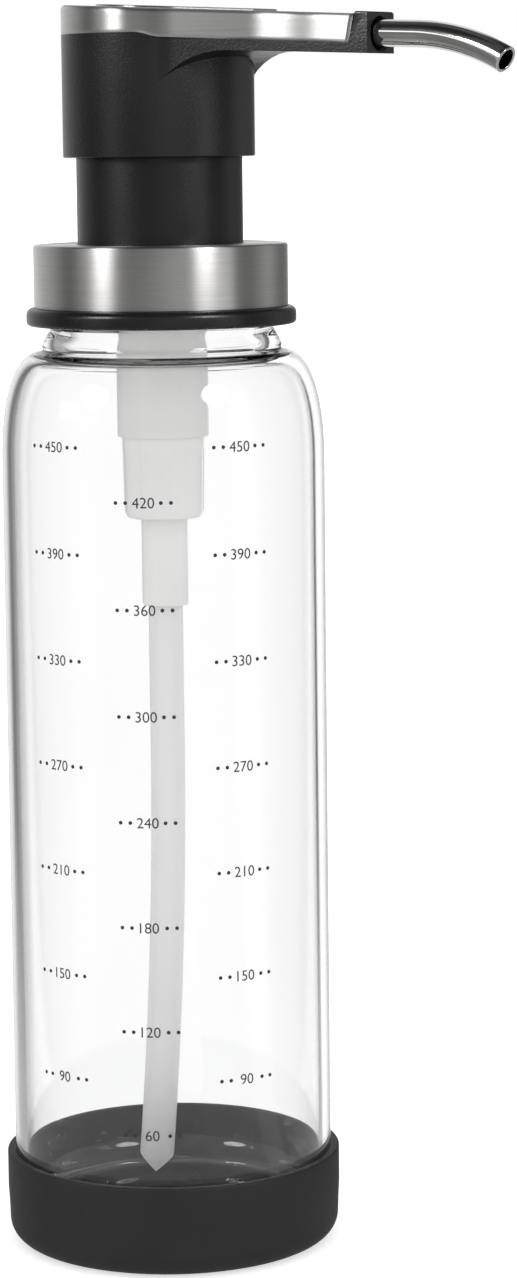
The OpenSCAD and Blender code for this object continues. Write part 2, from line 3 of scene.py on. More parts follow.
import bmesh
import bpy
import numpy as np
from mathutils import Matrix, Vector


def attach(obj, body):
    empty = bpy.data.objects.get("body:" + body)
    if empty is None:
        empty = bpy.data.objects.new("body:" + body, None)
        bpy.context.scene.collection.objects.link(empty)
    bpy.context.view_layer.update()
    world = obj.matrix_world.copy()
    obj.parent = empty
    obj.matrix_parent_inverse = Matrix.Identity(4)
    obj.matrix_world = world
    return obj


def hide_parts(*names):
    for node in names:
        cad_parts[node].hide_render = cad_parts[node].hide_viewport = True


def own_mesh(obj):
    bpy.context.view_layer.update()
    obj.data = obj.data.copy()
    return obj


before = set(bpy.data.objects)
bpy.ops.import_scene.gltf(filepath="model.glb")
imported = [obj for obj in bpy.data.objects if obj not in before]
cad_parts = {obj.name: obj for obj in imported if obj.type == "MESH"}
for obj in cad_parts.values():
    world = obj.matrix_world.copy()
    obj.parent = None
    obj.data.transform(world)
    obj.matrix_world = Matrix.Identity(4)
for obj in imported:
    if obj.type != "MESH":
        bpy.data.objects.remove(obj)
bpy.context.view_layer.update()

bpy.context.scene.view_settings.view_transform = "Standard"
MM = 0.001
TAU = 2 * math.pi

# Sizes in millimetres, as in the part's source
GLASS_R, GLASS_WALL, GLASS_FOOT, FLOOR_Z = 32.5, 2.3, 2.2, 7.5
SHOULDER_Z, NECK_Z, MOUTH_Z = 160.0, 182.6, 197.0
NECK_R, MOUTH_R, FILLET, THREAD_RISE, PITCH = 22.3, 20.0, 1.8, 1.0, 4.0
SQUARE = 2.3
BOOT_R, BOOT_LOW_R, BOOT_H, BOOT_FLOOR = 34.2, 33.9, 18.7, 2.2
RIM_R, RIM_LOW, RIM_TOP, CLOSURE_R, CLOSURE_TOP = 27.1, 187.7, 191.3, 24.95, 203.3
CLOSURE_BORE, PLATE_Z, HOLE_R = 23.6, 201.5, 16.9
COLLAR_R, COLLAR_SHEET, COLLAR_TOP = 25.5, 0.5, 203.8
STEM_R, STEM_IN_R, STEM_TOP, STACK_Z, FLANGE_R = 16.6, 14.8, 225.2, 200.0, 22.1
SLEEVE_R, SLEEVE_LOW, SLEEVE_Z = 9.2, 165.2, 198.5
CYL_R, CYL_IN_R, CYL_LOW, SOCKET_R, SOCKET_LOW = 8.3, 6.9, 148.8, 4.7, 131.1
TUBE_R, TUBE_IN_R, TIP_Z, TUBE_TOP, BOW, BOW_LEN, BOW_TURN = 3.5, 2.5, 13.9, 146.8, 3.7, 88.0, 218
SKIRT_Z, SKIRT_R, SHELF_Z = 221.0, 19.15, 245.15
TOP_Z, TOP_SLOPE, ARM_SLOPE, BAND_H = 250.3, 0.05, 0.04, 5.55
ARM_LEN, ARM_END, ARM_ROOT, ARM_FILLET, BLOCK_T = 53.8, 4.5, 17.32, 10.0, 2.7
SPOUT_Z, SPOUT_R, SPOUT_IN_R, SPOUT_X0, SPOUT_X1 = 246.2, 2.6, 2.0, 2.6, 62.5
BEND_R, BEND = 46.0, 25.6
FIRST_MARK_Z, MM_PER_ML = 29.06, 0.3493
SPRING = dict(low=160.79, high=185.0, r=5.2, wire=0.55, turns=7)

# The photograph's direction: the spout is turned this much from the picture plane
TURN = math.radians(38)


def turned(x, y, z):
    """A direction given as right, away and up in the photograph, in the row frame."""
    return Vector((x * math.cos(TURN) - y * math.sin(TURN), x * math.sin(TURN) + y * math.cos(TURN), z))


def add_camera():
    """The photograph's camera. Its focal length is in pixels of a picture 1278 high."""
    distance, height, focal, picture_height, sensor = 0.7473, 0.2249, 3713, 1278, 36
    yaw, pitch, roll = map(math.radians, (1.436, 7.716, -0.646))
    right = turned(math.cos(yaw), -math.sin(yaw), 0)
    ahead = turned(math.sin(yaw) * math.cos(pitch), math.cos(yaw) * math.cos(pitch), -math.sin(pitch))
    up = right.cross(ahead)
    x_axis = right * math.cos(roll) + up * math.sin(roll)
    y_axis = up * math.cos(roll) - right * math.sin(roll)
    data = bpy.data.cameras.new("camera")
    data.sensor_fit, data.sensor_width = "AUTO", sensor
    data.lens = focal * sensor / picture_height
    data.clip_start, data.clip_end = 0.01, 100
    cam = bpy.data.objects.new("camera", data)
    bpy.context.scene.collection.objects.link(cam)
    rows = [list(v) for v in (x_axis, y_axis, -ahead)]
    cam.matrix_world = Matrix.Translation(turned(0, -distance, height)) @ Matrix(rows).transposed().to_4x4()
    bpy.context.scene.camera = cam


add_camera()


# ---- meshes ----
def new_object(name, verts, faces, sharp=32):
    """A smooth-shaded piece, with its edges sharp where faces meet at more than sharp degrees."""
    mesh = bpy.data.meshes.new(name)
    mesh.from_pydata([(x * MM, y * MM, z * MM) for x, y, z in verts], [], faces)
    bm = bmesh.new()
    bm.from_mesh(mesh)
    bmesh.ops.remove_doubles(bm, verts=bm.verts, dist=1e-7)
    bmesh.ops.recalc_face_normals(bm, faces=bm.faces)
    bm.to_mesh(mesh)
    bm.free()
    mesh.shade_smooth()
    mesh.set_sharp_from_angle(angle=math.radians(sharp))
    obj = bpy.data.objects.new(name, mesh)
    bpy.context.scene.collection.objects.link(obj)
    return obj


def grid(rows, wrap_rows=False, wrap_cols=True):
    """Vertices and faces over rows of points of one length, or of one point where a row is a pole."""
    verts, ids, faces = [], [], []
    for row in rows:
        ids.append(list(range(len(verts), len(verts) + len(row))))
        verts += row
    pairs = list(zip(ids, ids[1:])) + ([(ids[-1], ids[0])] if wrap_rows else [])
    for a, b in pairs:
        n = max(len(a), len(b))
        for k in range(n if wrap_cols else n - 1):
            j = (k + 1) % n
            if len(a) == 1:
                faces.append((a[0], b[j], b[k]))
            elif len(b) == 1:
                faces.append((a[k], a[j], b[0]))
            else:
                faces.append((a[k], a[j], b[j], b[k]))
    return verts, faces


# How many sides a turned piece has, unless it asks for its own count
SIDES = 240


def circle_row(r, z, n=SIDES, bend=None):
    """A ring of points, or one point on the axis. bend(angle, height) is added to the radius."""
    if r < 1e-6:
        return [(0.0, 0.0, z)]
    row = []
    for k in range(n):
        a = TAU * k / n
        rr = r if bend is None else r + bend(a, z)
        row.append((rr * math.cos(a), rr * math.sin(a), z))
    return row


def lathe(name, profile, n=SIDES, closed=True):
    """A turned piece from its outline of (radius, height) points."""
    rows = [circle_row(r, z, n) for r, z in profile]
    return new_object(name, *grid(rows, wrap_rows=closed))


def rounded(corners, steps=5):
    """An outline with its corners rounded, from (r, z, radius) points going once round."""
    out = []
    for i, (r, z, rad) in enumerate(corners):
        p, a, b = Vector((r, z)), Vector(corners[i - 1][:2]), Vector(corners[(i + 1) % len(corners)][:2])
        if rad <= 0:
            out.append((r, z))
            continue
        u, v = (a - p).normalized(), (b - p).normalized()
        half = math.acos(max(-1.0, min(1.0, u.dot(v)))) / 2
        back = rad / math.tan(half)
        c = p + (u + v).normalized() * (rad / math.sin(half))
        s, e = p + u * back - c, p + v * back - c
        total = math.atan2(s.x * e.y - s.y * e.x, s.dot(e))
        for k in range(steps + 1):
            t = total * k / steps
            out.append((c.x + s.x * math.cos(t) - s.y * math.sin(t),
                        c.y + s.x * math.sin(t) + s.y * math.cos(t)))
    return out


def foot(r, z, rad, steps=12):
    """The rounded foot of a round vessel, from the floor out and up."""
    return [(r - rad + rad * math.sin(TAU / 4 * i / steps), z + rad - rad * math.cos(TAU / 4 * i / steps))
            for i in range(steps + 1)]


def shoulder(r, a, b, steps):
    """The bottle's shoulder: a squared quarter ellipse from the wall, in to radius r."""
    out = []
    for i in range(steps + 1):
        t = TAU / 4 * i / steps
        out.append((r + a * max(math.cos(t), 0) ** (2 / SQUARE),
                    SHOULDER_Z + b * math.sin(t) ** (2 / SQUARE)))
    return out


def add(obj, body, nodes, mat):
    """Hands a finished piece to its body, with its material and the CAD nodes it stands for."""
    obj.data.materials.clear()
    obj.data.materials.append(mat)
    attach(obj, body)
    if nodes:
        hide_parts(*nodes)
    return obj


# ---- materials ----
def math_node(tree, operation, a, b=None):
    n = tree.nodes.new("ShaderNodeMath")
    n.operation = operation
    for i, value in enumerate((a, b)):
        if isinstance(value, bpy.types.NodeSocket):
            tree.links.new(value, n.inputs[i])
        elif value is not None:
            n.inputs[i].default_value = value
    return n.outputs[0]


def noise(tree, coords, scale, detail, rough=0.5, stretch=(1, 1, 1)):
    m = tree.nodes.new("ShaderNodeMapping")
    m.inputs["Scale"].default_value = stretch
    tree.links.new(coords, m.inputs["Vector"])
    n = tree.nodes.new("ShaderNodeTexNoise")
    tree.links.new(m.outputs[0], n.inputs["Vector"])
    n.inputs["Scale"].default_value = scale
    n.inputs["Detail"].default_value = detail
    n.inputs["Roughness"].default_value = rough
    return n.outputs[0]


def spread(tree, value, low, high, start=0.3, end=0.7):
    """A value that goes from low to high as the input goes from start to end."""
    n = tree.nodes.new("ShaderNodeMapRange")
    tree.links.new(value, n.inputs["Value"])
    for key, x in (("From Min", start), ("From Max", end), ("To Min", low), ("To Max", high)):
        n.inputs[key].default_value = x
    return n.outputs[0]


def tint(tree, value, dark, light, start=0.3, end=0.7):
    """A colour that goes from dark to light as the input goes from start to end."""
    n = tree.nodes.new("ShaderNodeValToRGB")
    tree.links.new(value, n.inputs[0])
    for element, place, color in zip(n.color_ramp.elements, (start, end), (dark, light)):
        element.position, element.color = place, (*color, 1)
    return n.outputs[0]


def steps(tree, value, pairs, low, high):
    """A brightness that follows (place, brightness) pairs, with places from low to high."""
    n = tree.nodes.new("ShaderNodeValToRGB")
    n.color_ramp.interpolation = "LINEAR"
    while len(n.color_ramp.elements) < len(pairs):
        n.color_ramp.elements.new(0.5)
    for element, (place, tone) in zip(n.color_ramp.elements, pairs):
        element.position = (place - low) / (high - low)
        element.color = (tone, tone, tone, 1)
    m = tree.nodes.new("ShaderNodeMapRange")
    tree.links.new(value, m.inputs["Value"])
    m.inputs["From Min"].default_value, m.inputs["From Max"].default_value = low, high
    tree.links.new(m.outputs[0], n.inputs[0])
    return n.outputs[0]


def bump(tree, height, strength, distance):
    n = tree.nodes.new("ShaderNodeBump")
    n.inputs["Strength"].default_value = strength
    n.inputs["Distance"].default_value = distance
    tree.links.new(height, n.inputs["Height"])
    return n.outputs[0]


def start_material(name, **settings):
    mat = bpy.data.materials.new(name)
    mat.use_nodes = True
    tree = mat.node_tree
    shader = tree.nodes["Principled BSDF"]
    for key, value in settings.items():
        shader.inputs[key.replace("_", " ")].default_value = value
    coords = tree.nodes.new("ShaderNodeTexCoord").outputs["Object"]
    return mat, tree, shader, coords


def moulded(name, dark, light, rough, grain, depth, strength, **settings):
    """Moulded plastic or rubber: a fine grain, with soft clouds in its colour and gloss."""
    cloud_scale, vary = 60, 0.06
    mat, tree, shader, coords = start_material(name, **settings)
    cloud = noise(tree, coords, cloud_scale, 3)
    fine = noise(tree, coords, grain, 2, 0.6)
    tree.links.new(tint(tree, cloud, dark, light), shader.inputs["Base Color"])
    mixed = math_node(tree, "MULTIPLY", math_node(tree, "ADD", cloud, fine), 0.5)
    tree.links.new(spread(tree, mixed, rough - vary, rough + vary), shader.inputs["Roughness"])
    tree.links.new(bump(tree, fine, strength, depth), shader.inputs["Normal"])
    return mat


# The scale of the broad part of a brushed grain, as a share of the fine part's
BROAD = 0.35


def brushed(name, dark, light, rough, flat, wall, flat_tangent):
    """Brushed steel. flat and wall build the grain of the surfaces that face up and of those that stand.
    flat_tangent holds the shares of x and y in the flat brushing's direction, and a constant along y."""
    anisotropic, depth, strength, vary = 0.92, 0.00002, 0.3, 0.05
    cloud_scale, broad_share, facing_up = 45, 0.6, 0.7
    mat, tree, shader, coords = start_material(name, Metallic=1.0, Anisotropic=anisotropic)
    normal = tree.nodes.new("ShaderNodeNewGeometry").outputs["Normal"]
    parts = tree.nodes.new("ShaderNodeSeparateXYZ")
    tree.links.new(normal, parts.inputs[0])
    up = math_node(tree, "GREATER_THAN", math_node(tree, "ABSOLUTE", parts.outputs[2]), facing_up)

    def either(a, b):
        return math_node(tree, "ADD", math_node(tree, "MULTIPLY", a, up),
                         math_node(tree, "MULTIPLY", b, math_node(tree, "SUBTRACT", 1, up)))

    grain = either(flat(tree, coords, 1), wall(tree, coords, 1))
    broad = either(flat(tree, coords, BROAD), wall(tree, coords, BROAD))
    cloud = noise(tree, coords, cloud_scale, 2)
    tree.links.new(tint(tree, grain, dark, light, 0.25, 0.75), shader.inputs["Base Color"])
    both = math_node(tree, "ADD", math_node(tree, "MULTIPLY", broad, broad_share),
                     math_node(tree, "MULTIPLY", cloud, 1 - broad_share))
    tree.links.new(spread(tree, both, rough - vary, rough + vary), shader.inputs["Roughness"])
    tree.links.new(bump(tree, grain, strength, depth), shader.inputs["Normal"])
    tangent = tree.nodes.new("ShaderNodeVectorMath")
    tangent.operation = "MULTIPLY_ADD"
    tree.links.new(coords, tangent.inputs[0])
    mask = tree.nodes.new("ShaderNodeCombineXYZ")
    for i, share in enumerate(flat_tangent[:2]):
        tree.links.new(math_node(tree, "MULTIPLY", up, share), mask.inputs[i])
    tree.links.new(mask.outputs[0], tangent.inputs[1])
    rise = tree.nodes.new("ShaderNodeCombineXYZ")
    tree.links.new(math_node(tree, "MULTIPLY", up, flat_tangent[2]), rise.inputs[1])
    tree.links.new(math_node(tree, "SUBTRACT", 1, up), rise.inputs[2])
    tree.links.new(rise.outputs[0], tangent.inputs[2])
    tree.links.new(tangent.outputs[0], shader.inputs["Tangent"])
    return mat


def ring_grain(scale):
    """Grain in rings round the axis, for a turned face."""
    across = 0.02

    def build(tree, coords, share):
        parts = tree.nodes.new("ShaderNodeSeparateXYZ")
        tree.links.new(coords, parts.inputs[0])
        squares = [math_node(tree, "MULTIPLY", parts.outputs[i], parts.outputs[i]) for i in (0, 1)]
        far = math_node(tree, "SQRT", math_node(tree, "ADD", *squares))
        joined = tree.nodes.new("ShaderNodeCombineXYZ")
        tree.links.new(far, joined.inputs[0])
        tree.links.new(math_node(tree, "MULTIPLY", parts.outputs[0], across), joined.inputs[1])
        return noise(tree, joined.outputs[0], scale * share, 3, 0.6)

    return build


def line_grain(scale, stretch):
    """Grain in straight lines, along the axes that stretch makes small."""
    def build(tree, coords, share):
        return noise(tree, coords, scale * share, 3, 0.6, stretch)

    return build


def polished(name, dark, light, rough):
    """Polished steel with faint drawn lines and a soft bloom."""
    mat, tree, shader, coords = start_material(name, Metallic=1.0)
    fine = noise(tree, coords, 500, 3, 0.6, (0.15, 1, 1))
    cloud = noise(tree, coords, 120, 2)
    tree.links.new(tint(tree, cloud, dark, light), shader.inputs["Base Color"])
    tree.links.new(spread(tree, fine, rough - 0.02, rough + 0.03), shader.inputs["Roughness"])
    tree.links.new(bump(tree, fine, 0.08, 0.00001), shader.inputs["Normal"])
    return mat


def see_through(name, color, rough, ior, share=1.0, tone=(1, 1, 1), wave=0.04):
    """Glass or clear plastic whose shadow has the given tone, with a faint waviness."""
    darker, vary = 0.99, 0.02
    mat, tree, shader, coords = start_material(name, IOR=ior, Transmission_Weight=share)
    cloud = noise(tree, coords, 25, 2)
    shade = tint(tree, cloud, [c * darker for c in color], color)
    tree.links.new(shade, shader.inputs["Base Color"])
    fine = noise(tree, coords, 300, 2)
    tree.links.new(spread(tree, fine, rough, rough + vary), shader.inputs["Roughness"])
    tree.links.new(bump(tree, cloud, wave, 0.0002), shader.inputs["Normal"])
    clear = tree.nodes.new("ShaderNodeBsdfTransparent")
    clear.inputs[0].default_value = (*tone, 1)
    path = tree.nodes.new("ShaderNodeLightPath")
    mix = tree.nodes.new("ShaderNodeMixShader")
    either = math_node(tree, "MAXIMUM", path.outputs["Is Shadow Ray"], path.outputs["Is Diffuse Ray"])
    tree.links.new(either, mix.inputs[0])
    tree.links.new(shader.outputs[0], mix.inputs[1])
    tree.links.new(clear.outputs[0], mix.inputs[2])
    tree.links.new(mix.outputs[0], tree.nodes["Material Output"].inputs[0])
    return mat


BOOT = moulded("boot_rubber", (0.010, 0.010, 0.0102), (0.015, 0.015, 0.0152), 0.6, 1400, 0.00005, 0.5)
CLOSURE = moulded("closure_black", (0.008, 0.008, 0.0082), (0.012, 0.012, 0.0122), 0.27, 1500, 0.00003, 0.3)
STEM = moulded("stem_black", (0.005, 0.005, 0.005), (0.008, 0.008, 0.0081), 0.32, 2000, 0.00004, 0.5)
HEAD = moulded("head_black", (0.003, 0.003, 0.003), (0.006, 0.006, 0.006), 0.31, 2000, 0.0001, 0.6,
               Specular_IOR_Level=0.75)
WHITE = moulded("pump_white", (0.82, 0.82, 0.81), (0.86, 0.86, 0.85), 0.38, 900, 0.00002, 0.2)
NATURAL = moulded("pump_natural", (0.88, 0.88, 0.87), (0.92, 0.92, 0.91), 0.22, 900, 0.00002, 0.2)
SEAL = moulded("seal_rubber", (0.02, 0.02, 0.02), (0.03, 0.03, 0.03), 0.55, 1200, 0.00003, 0.3)
FOAM = moulded("gasket_foam", (0.62, 0.62, 0.6), (0.72, 0.72, 0.7), 0.8, 1800, 0.0001, 0.7)
INK = moulded("print_grey", (0.028, 0.028, 0.03), (0.04, 0.04, 0.042), 0.55, 1500, 0.00001, 0.2)
COLLAR = brushed("collar_steel", (0.55, 0.545, 0.535), (0.66, 0.655, 0.645), 0.36, ring_grain(9000),
                 line_grain(6000, (0.01, 0.01, 1)), (1, 1, 0))
COVER = brushed("cover_steel", (0.56, 0.555, 0.545), (0.67, 0.665, 0.655), 0.36,
                line_grain(6000, (0.01, 1, 0.01)), line_grain(6000, (0.01, 0.01, 1)), (0, 0, 1))
SPOUT = polished("spout_steel", (0.70, 0.695, 0.685), (0.76, 0.755, 0.745), 0.07)
SPRING_STEEL = polished("spring_steel", (0.45, 0.45, 0.45), (0.55, 0.55, 0.54), 0.25)
BALL_STEEL = polished("ball_steel", (0.6, 0.6, 0.6), (0.68, 0.68, 0.67), 0.1)
GLASS = see_through("glass", (0.995, 0.998, 0.997), 0.0, 1.5)
TUBE = see_through("tube_clear", (0.975, 0.975, 0.97), 0.3, 1.3, 0.5, (0.9, 0.9, 0.9), 0.02)


# ---- stage, lights and surroundings ----
AHEAD, RIGHT = turned(0, 1, 0), turned(1, 0, 0)


def bearing(tree, vector):
    """A direction's turn round the object and its tilt, in degrees. Turn 0 is towards the photo's camera."""
    dots = []
    for axis in (AHEAD, RIGHT):
        n = tree.nodes.new("ShaderNodeVectorMath")
        n.operation = "DOT_PRODUCT"
        tree.links.new(vector, n.inputs[0])
        n.inputs[1].default_value = axis
        dots.append(n.outputs["Value"])
    angle = math_node(tree, "ARCTAN2", dots[1], math_node(tree, "MULTIPLY", dots[0], -1))
    turn = math_node(tree, "ADD", math_node(tree, "MULTIPLY", angle, 1 / TAU), 0.5)
    turn = math_node(tree, "SUBTRACT", math_node(tree, "MULTIPLY", turn, 360), 180)
    parts = tree.nodes.new("ShaderNodeSeparateXYZ")
    tree.links.new(vector, parts.inputs[0])
    length = tree.nodes.new("ShaderNodeVectorMath")
    length.operation = "LENGTH"
    tree.links.new(vector, length.inputs[0])
    tilt = math_node(tree, "ARCSINE", math_node(tree, "DIVIDE", parts.outputs[2], length.outputs["Value"]))
    return turn, math_node(tree, "MULTIPLY", tilt, 360 / TAU)


# Brightness round the object, in (degrees, brightness) pairs: 0 is towards the camera, 180 behind the
# object. The two raised parts near -58 and 58 are tall pale panels
AROUND = [(-180, 0.8), (-162, 0.82), (-139, 0.6), (-115, 0.4), (-97, 0.16), (-82, 0.18), (-71, 0.2),
          (-66, 0.55), (-50, 0.55), (-45, 0.25), (-25, 0.25), (-12, 0.3), (0, 0.4), (12, 0.5), (25, 0.4),
          (45, 0.28), (50, 0.8), (66, 0.8), (71, 0.22), (89, 0.18), (105, 0.35), (115, 0.45), (126, 0.3),
          (139, 0.18), (160, 0.22), (172, 0.9), (180, 0.9)]
# The same by tilt: 0 is level, 90 straight up
RISE = [(-90, 1), (22, 1), (38, 0.28), (50, 0.14), (90, 0.14)]
# The white wall behind the object, which stands higher than the rest
WALL = [(-180, 1), (-168, 1), (-160, 0), (160, 0), (168, 1), (180, 1)]
WALL_RISE = [(-90, 1), (46, 1), (56, 0.08), (90, 0.08)]
# A low white card to the left
CARD = [(-180, 0), (-84, 0), (-81, 1.6), (-67, 1.6), (-64, 0), (180, 0)]
CARD_RISE = [(-90, 0), (9, 0), (10.5, 1), (17, 1), (19, 0), (90, 0)]
# What clear glass shows: white straight behind, and a dark line beside it on each hand, which paints the
# lines along the glass's two sides
STRIPES = [(-180, 1.08), (-168, 1.08), (-163, 0.7), (-158, 0.45), (-155, 0.1), (-151, 0), (-148, 0.1),
           (-144, 0.3), (-137, 0.4), (-110, 0.4), (-80, 0.6), (80, 0.6), (110, 0.6), (133, 0.5),
           (137.5, 0.05), (143.5, 0.05), (146.5, 1.1), (154, 1.4), (162, 1.4), (167, 1.15), (170, 1.08),
           (180, 1.08)]
# The brightness that matt surfaces see all round
AMBIENT = 0.9
# The bottle's radius and half the floor's width, in metres
BESIDE, FLOOR_REACH = 0.033, 30
# The floor's brightness near the object and far from it, in (near, far, from metres, to metres)
GLOW_SEEN, GLOW_REFLECTED = (0.6, 1.0, 0.08, 0.3), (0.42, 0.0, 0.15, 0.6)


def surroundings(tree, vector, camera_strength=1.0, rise=True):
    """The light from a direction: white to the camera, striped to glass, a studio to the rest."""
    turn, tilt = bearing(tree, vector)
    room = steps(tree, turn, AROUND, -180, 180)
    if rise:
        wall = steps(tree, turn, WALL, -180, 180)
        beside = math_node(tree, "MULTIPLY", steps(tree, tilt, RISE, -90, 90),
                           math_node(tree, "SUBTRACT", 1, wall))
        behind = math_node(tree, "MULTIPLY", steps(tree, tilt, WALL_RISE, -90, 90), wall)
        room = math_node(tree, "MULTIPLY", room, math_node(tree, "ADD", beside, behind))
        card = math_node(tree, "MULTIPLY", steps(tree, turn, CARD, -180, 180),
                         steps(tree, tilt, CARD_RISE, -90, 90))
        room = math_node(tree, "MAXIMUM", room, card)
    striped = steps(tree, turn, STRIPES, -180, 180)
    path = tree.nodes.new("ShaderNodeLightPath")
    out = room
    for ray, value in (("Is Transmission Ray", striped), ("Is Diffuse Ray", AMBIENT),
                       ("Is Camera Ray", camera_strength)):
        is_ray = path.outputs[ray]
        kept = math_node(tree, "MULTIPLY", out, math_node(tree, "SUBTRACT", 1, is_ray))
        out = math_node(tree, "ADD", kept, math_node(tree, "MULTIPLY", is_ray, value))
    return out


def add_world():
    world = bpy.data.worlds.new("studio")
    bpy.context.scene.world = world
    world.use_nodes = True
    tree = world.node_tree
    vector = tree.nodes.new("ShaderNodeTexCoord").outputs["Generated"]
    back = tree.nodes["Background"]
    back.inputs[0].default_value = (1, 1, 1, 1)
    tree.links.new(surroundings(tree, vector), back.inputs[1])


def add_floor():
    mesh = bpy.data.meshes.new("floor")
    corners = [(x * FLOOR_REACH, y * FLOOR_REACH, 0) for x, y in ((-1, -1), (1, -1), (1, 1), (-1, 1))]
    mesh.from_pydata(corners, [], [(0, 1, 2, 3)])
    floor = bpy.data.objects.new("floor", mesh)
    bpy.context.scene.collection.objects.link(floor)
    mat, tree, shader, coords = start_material("floor_white", Base_Color=(0.8, 0.8, 0.8, 1), Roughness=0.9,
                                               Specular_IOR_Level=0.0)
    glow = tree.nodes.new("ShaderNodeEmission")
    path = tree.nodes.new("ShaderNodeLightPath")
    alone = math_node(tree, "MAXIMUM", path.outputs["Is Glossy Ray"], path.outputs["Is Transmission Ray"])
    alone = math_node(tree, "MAXIMUM", alone, path.outputs["Is Diffuse Ray"])
    seen = math_node(tree, "MAXIMUM", path.outputs["Is Camera Ray"], alone)
    far = tree.nodes.new("ShaderNodeVectorMath")
    far.operation = "LENGTH"
    tree.links.new(coords, far.inputs[0])
    near_glow = spread(tree, far.outputs["Value"], *GLOW_SEEN)
    # a ray that leaves the bottle starts beside the axis, so the floor's bearings are taken from there
    across = tree.nodes.new("ShaderNodeVectorMath")
    across.operation = "DOT_PRODUCT"
    tree.links.new(coords, across.inputs[0])
    across.inputs[1].default_value = RIGHT
    beside = math_node(tree, "MAXIMUM", math_node(tree, "MINIMUM", across.outputs["Value"], BESIDE), -BESIDE)
    shift = tree.nodes.new("ShaderNodeVectorMath")
    shift.operation = "SCALE"
    shift.inputs[0].default_value = RIGHT
    tree.links.new(beside, shift.inputs["Scale"])
    moved = tree.nodes.new("ShaderNodeVectorMath")
    moved.operation = "SUBTRACT"
    tree.links.new(coords, moved.inputs[0])
    tree.links.new(shift.outputs[0], moved.inputs[1])
    lit = surroundings(tree, moved.outputs[0], near_glow, rise=False)
    # metal and plastic see a lighter floor near the object
    near = math_node(tree, "MULTIPLY", spread(tree, far.outputs["Value"], *GLOW_REFLECTED),
                     path.outputs["Is Glossy Ray"])
    lit = math_node(tree, "MAXIMUM", lit, near)
    tree.links.new(math_node(tree, "MULTIPLY", lit, seen), glow.inputs[1])
    shaded = tree.nodes.new("ShaderNodeAddShader")
    tree.links.new(shader.outputs[0], shaded.inputs[0])
    tree.links.new(glow.outputs[0], shaded.inputs[1])
    # all but the camera see the glow alone, so that the floor joins the surroundings
    mix = tree.nodes.new("ShaderNodeMixShader")
    tree.links.new(alone, mix.inputs[0])
    tree.links.new(shaded.outputs[0], mix.inputs[1])
    tree.links.new(glow.outputs[0], mix.inputs[2])
    tree.links.new(mix.outputs[0], tree.nodes["Material Output"].inputs[0])
    mesh.materials.append(mat)


def add_lamp(name, side, rise, radiance, width=18, distance=3.0, aim_z=0.13):
    """A round softbox. side and rise are its direction in degrees, width the angle that it fills."""
    a, e = math.radians(side), math.radians(rise)
    towards = turned(math.sin(a) * math.cos(e), -math.cos(a) * math.cos(e), math.sin(e))
    data = bpy.data.lights.new(name, "AREA")
    data.shape = "DISK"
    data.size = 2 * distance * math.tan(math.radians(width / 2))
    data.energy = radiance * math.pi * math.pi * (data.size / 2) ** 2
    lamp = bpy.data.objects.new(name, data)
    lamp.location = towards * distance + Vector((0, 0, aim_z))
    lamp.rotation_mode = "QUATERNION"
    lamp.rotation_quaternion = towards.to_track_quat("Z", "Y")
    lamp.visible_camera = lamp.visible_diffuse = False
    bpy.context.scene.collection.objects.link(lamp)


add_world()
add_floor()
add_lamp("softbox_left", -56, 27, 12.5)
add_lamp("softbox_right", 42.5, 29, 13)


# ---- the bottle and what stands round it ----
# The thread's start and end and its fade, in turns, its drop below the mouth and half its width
THREAD_START, THREAD_END, THREAD_FADE, THREAD_DROP, THREAD_HALF = 0.1, 1.85, 0.12, 2.2, 1.2
# The part of the neck that carries it, and the plain neck's top
THREAD_LOW, THREAD_HIGH, NECK_TOP = 185.3, 196.3, 196.21


def thread(a, z):
    """The thread: one round ridge that climbs the neck, fading in and out at its ends."""
    rise = 0.0
    for turn in (0, 1, 2):
        along = a / TAU + turn
        if not THREAD_START <= along <= THREAD_END:
            continue
        middle = MOUTH_Z - THREAD_DROP - PITCH * along
        fade = min(1, (along - THREAD_START) / THREAD_FADE, (THREAD_END - along) / THREAD_FADE)
        off = abs(z - middle) / THREAD_HALF
        if off < 1:
            rise = max(rise, THREAD_RISE * fade * (0.5 + 0.5 * math.cos(math.pi * off)))
    return rise


def drawn_in(profile, wall):
    """The inner face of a wall of one thickness, from the points of its outer face."""
    out = []
    for i, (r, z) in enumerate(profile):
        a, b = profile[max(i - 1, 0)], profile[min(i + 1, len(profile) - 1)]
        dr, dz = b[0] - a[0], b[1] - a[1]
        size = math.hypot(dr, dz)
        out.append((r - wall * dz / size, z + wall * dr / size))
    return out


# The neck's flared foot, with a shallow groove where it meets the shoulder
NECK_FOOT = [(24.75, 182.42), (24.4, 182.55), (24.1, 182.75), (23.98, 183.0), (24.02, 183.3), (24.1, 183.6),
             (24.05, 183.9), (23.9, 184.2), (23.7, 184.6), (23.45, 185.1), (23.2, 185.6), (22.9, 186.1),
             (22.62, 186.6), (22.42, 187.0)]


def arc(r, z, size_r, size_z, count):
    """A quarter round about (r, z), from beside it to above it, with signed sizes."""
    return [(r + size_r * math.cos(TAU / 4 * i / count), z + size_z * math.sin(TAU / 4 * i / count))
            for i in range(count + 1)]


